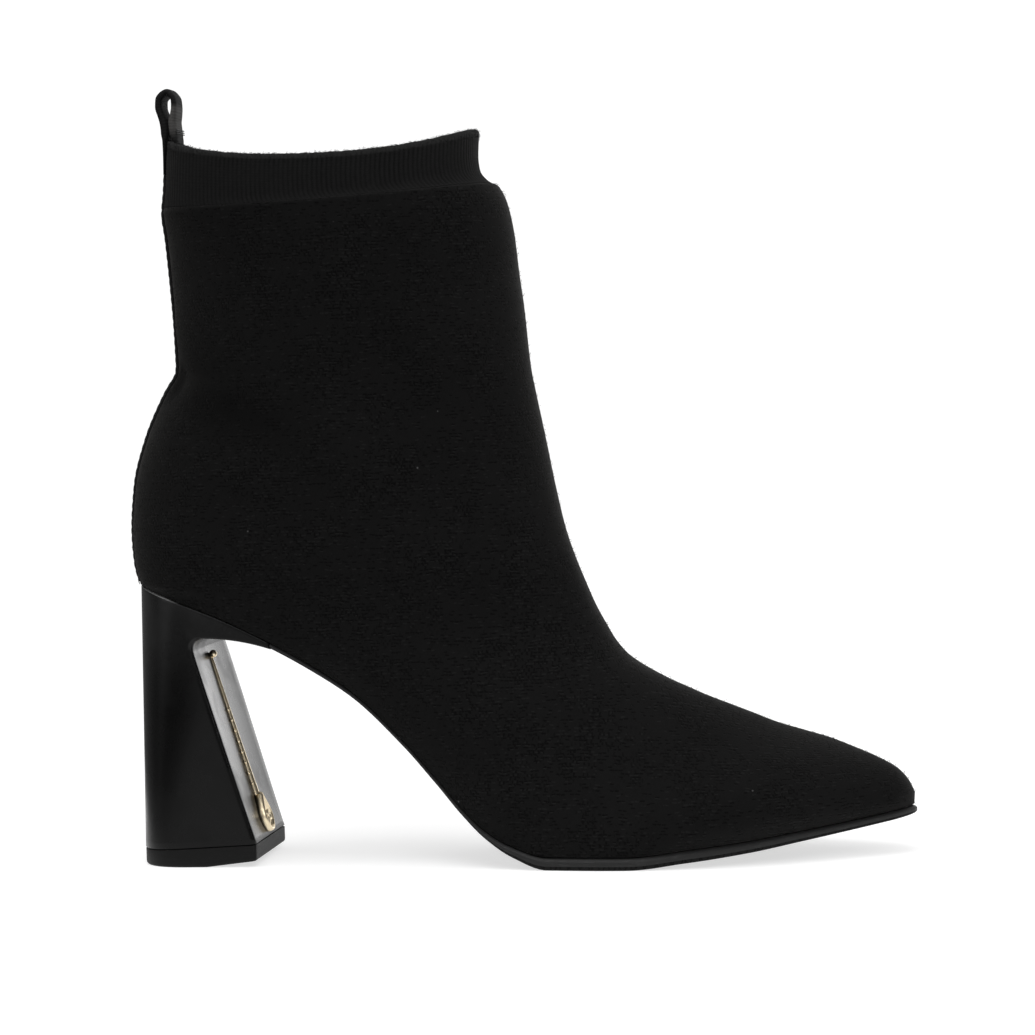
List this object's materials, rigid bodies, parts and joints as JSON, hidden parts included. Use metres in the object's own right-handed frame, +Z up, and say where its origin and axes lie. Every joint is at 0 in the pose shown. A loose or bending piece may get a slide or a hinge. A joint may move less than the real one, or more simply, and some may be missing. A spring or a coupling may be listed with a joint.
{
  "type": "sock boot",
  "caption": "Pointed ankle-high sock boot with a hollow knitted upper, ribbed cuff, thin sole, covered block heel, pull loop and a gold-coloured heel trim.",
  "frame": {"origin": "middle of the flat spot that the heel's top lift rests on, at the floor", "axes": "+X to the toe, +Y to the inner side of the foot, +Z up"},
  "size_m": [0.2384, 0.0751, 0.2365],
  "materials": {
    "upper": "matte black knit, with a ribbed cuff",
    "backstay": "smooth woven tape, dark grey",
    "pull_loop": "black webbing",
    "insole": "smooth dark sock lining on board",
    "outsole": "satin black with a buffed edge",
    "heel_block": "glossy black covering",
    "top_lift": "satin black",
    "heel_rod": "polished pale gold-coloured metal",
    "charm": "polished pale gold-coloured metal"
  },
  "bodies": {
    "root": {"upper": "upper", "backstay": "backstay", "pull_loop": "pull_loop", "insole": "insole", "outsole": "outsole", "heel_block": "heel_block", "top_lift": "top_lift", "heel_rod": "heel_rod", "charm": "charm"}
  },
  "joints": []
}
